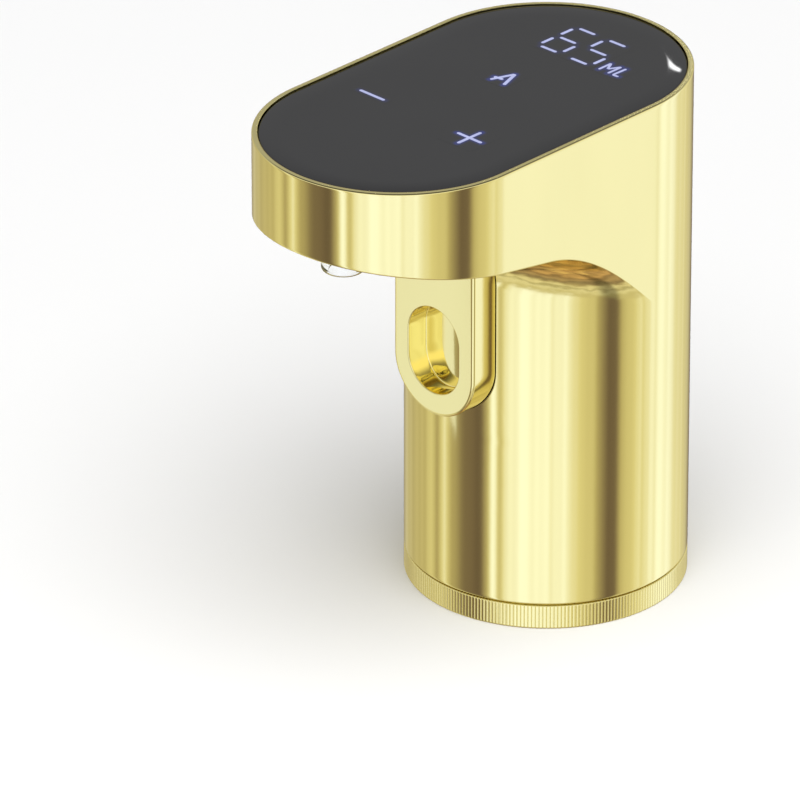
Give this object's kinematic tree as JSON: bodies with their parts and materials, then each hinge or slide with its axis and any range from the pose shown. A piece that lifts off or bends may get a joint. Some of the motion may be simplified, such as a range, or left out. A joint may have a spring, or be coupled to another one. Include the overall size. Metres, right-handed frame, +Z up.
{
  "type": "electric wine aerator",
  "caption": "Electric wine aerator and pourer: a column over a bottle's neck with an overhanging head, touch panel, push paddle, clear nozzle and knurled base ring.",
  "frame": {"origin": "the column's axis at the base ring's bottom face, where the bottle's neck enters", "axes": "+Z up along the column and the bottle; the head, the nozzle and the paddle are towards -Y"},
  "size_m": [0.052, 0.091, 0.1012],
  "materials": {
    "gold_shell": "mirror polished, gold anodised",
    "gold_ring": "mirror polished, gold anodised, fine flutes",
    "gold_paddle": "mirror polished, gold anodised",
    "touch_glass": "polished black glass",
    "lit_mark": "milky light guide, lit",
    "dark_plastic": "moulded, satin",
    "board": "solder-masked laminate",
    "chip": "moulded chip packages",
    "structural_plastic": "moulded, satin",
    "food_plastic": "polished moulding",
    "silicone": "soft translucent silicone",
    "clear_plastic": "clear moulding",
    "motor_steel": "drawn steel can",
    "magnet": "sintered ferrite",
    "winding": "lacquered copper windings",
    "pump_plastic": "glass-filled moulding",
    "valve_block": "moulded, satin",
    "screw_steel": "zinc-plated",
    "spring_steel": "drawn spring wire",
    "cell": "shrink-wrapped cell",
    "socket_steel": "pressed steel",
    "switch_plastic": "moulded"
  },
  "bodies": {
    "root": {"outer_shell": "gold_shell", "touch_glass": "touch_glass", "segment_light_guides": "lit_mark", "icon_light_guides": "lit_mark", "panel_tray": "dark_plastic", "board_link": "dark_plastic", "buzzer": "dark_plastic", "display_board": "board", "main_board": "board", "main_board_chips": "chip", "socket_housing": "structural_plastic", "component_frame": "structural_plastic", "stopper_carrier": "structural_plastic", "pin_bracket": "structural_plastic", "motor_clamp": "structural_plastic", "battery_strap": "structural_plastic", "stopper_core": "food_plastic", "manifold": "food_plastic", "aerator_chamber": "food_plastic", "aerator_insert": "food_plastic", "bottle_stopper": "silicone", "core_seal": "silicone", "wine_riser_tube": "silicone", "air_hose": "silicone", "outlet_hose": "silicone", "diaphragm": "silicone", "pouring_nozzle": "clear_plastic", "motor_can": "motor_steel", "motor_magnets": "magnet", "pump_housing": "pump_plastic", "valve_plate": "pump_plastic", "pump_head": "pump_plastic", "relief_valve_body": "valve_block", "housing_screws": "screw_steel", "frame_screws": "screw_steel", "board_screws": "screw_steel", "chamber_screws": "screw_steel", "paddle_pin": "screw_steel", "paddle_spring": "spring_steel", "relief_valve_spring": "spring_steel", "battery_cell": "cell", "usb_socket": "socket_steel", "paddle_switch": "switch_plastic"},
    "ring": {"base_ring": "gold_ring"},
    "paddle": {"push_paddle": "gold_paddle"},
    "plunger": {"switch_plunger": "switch_plastic"},
    "rotor": {"motor_rotor": "winding", "eccentric": "pump_plastic"},
    "wobble": {"wobble_plate": "pump_plastic"},
    "valve": {"relief_valve_plunger": "screw_steel"}
  },
  "joints": [
    {"name": "ring_turn", "type": "hinge", "parent": "root", "child": "ring", "pos_m": [0, 0, 0], "axis": [0, 0, 1], "range_deg": [0, 60]},
    {"name": "paddle_push", "type": "hinge", "parent": "root", "child": "paddle", "pos_m": [0, -0.025, 0.0803], "axis": [1, 0, 0], "range_deg": [0, 2.4], "stiffness_Nm_per_rad": 0.3, "springref_deg": -2.86, "deforming": ["paddle_spring"]},
    {"name": "switch_press", "type": "slide", "parent": "root", "child": "plunger", "axis": [0, 1, 0], "range_m": [0, 0.0012]},
    {"name": "motor_spin", "type": "hinge", "parent": "root", "child": "rotor", "pos_m": [-0.0105, 0.003, 0], "axis": [0, 0, 1], "continuous": true},
    {"name": "wobble_nod", "type": "hinge", "parent": "root", "child": "wobble", "pos_m": [-0.0105, 0.003, 0.0709], "axis": [1, 0, 0], "range_deg": [-2, 2]},
    {"name": "valve_lift", "type": "slide", "parent": "root", "child": "valve", "axis": [0, 0, 1], "range_m": [0, 0.0015], "stiffness_N_per_m": 120, "springref_m": -0.002, "deforming": ["relief_valve_spring"]}
  ],
  "couplings": [
    {"joint": "switch_press", "follows": "paddle_push", "m_per_rad": 0.0243}
  ]
}
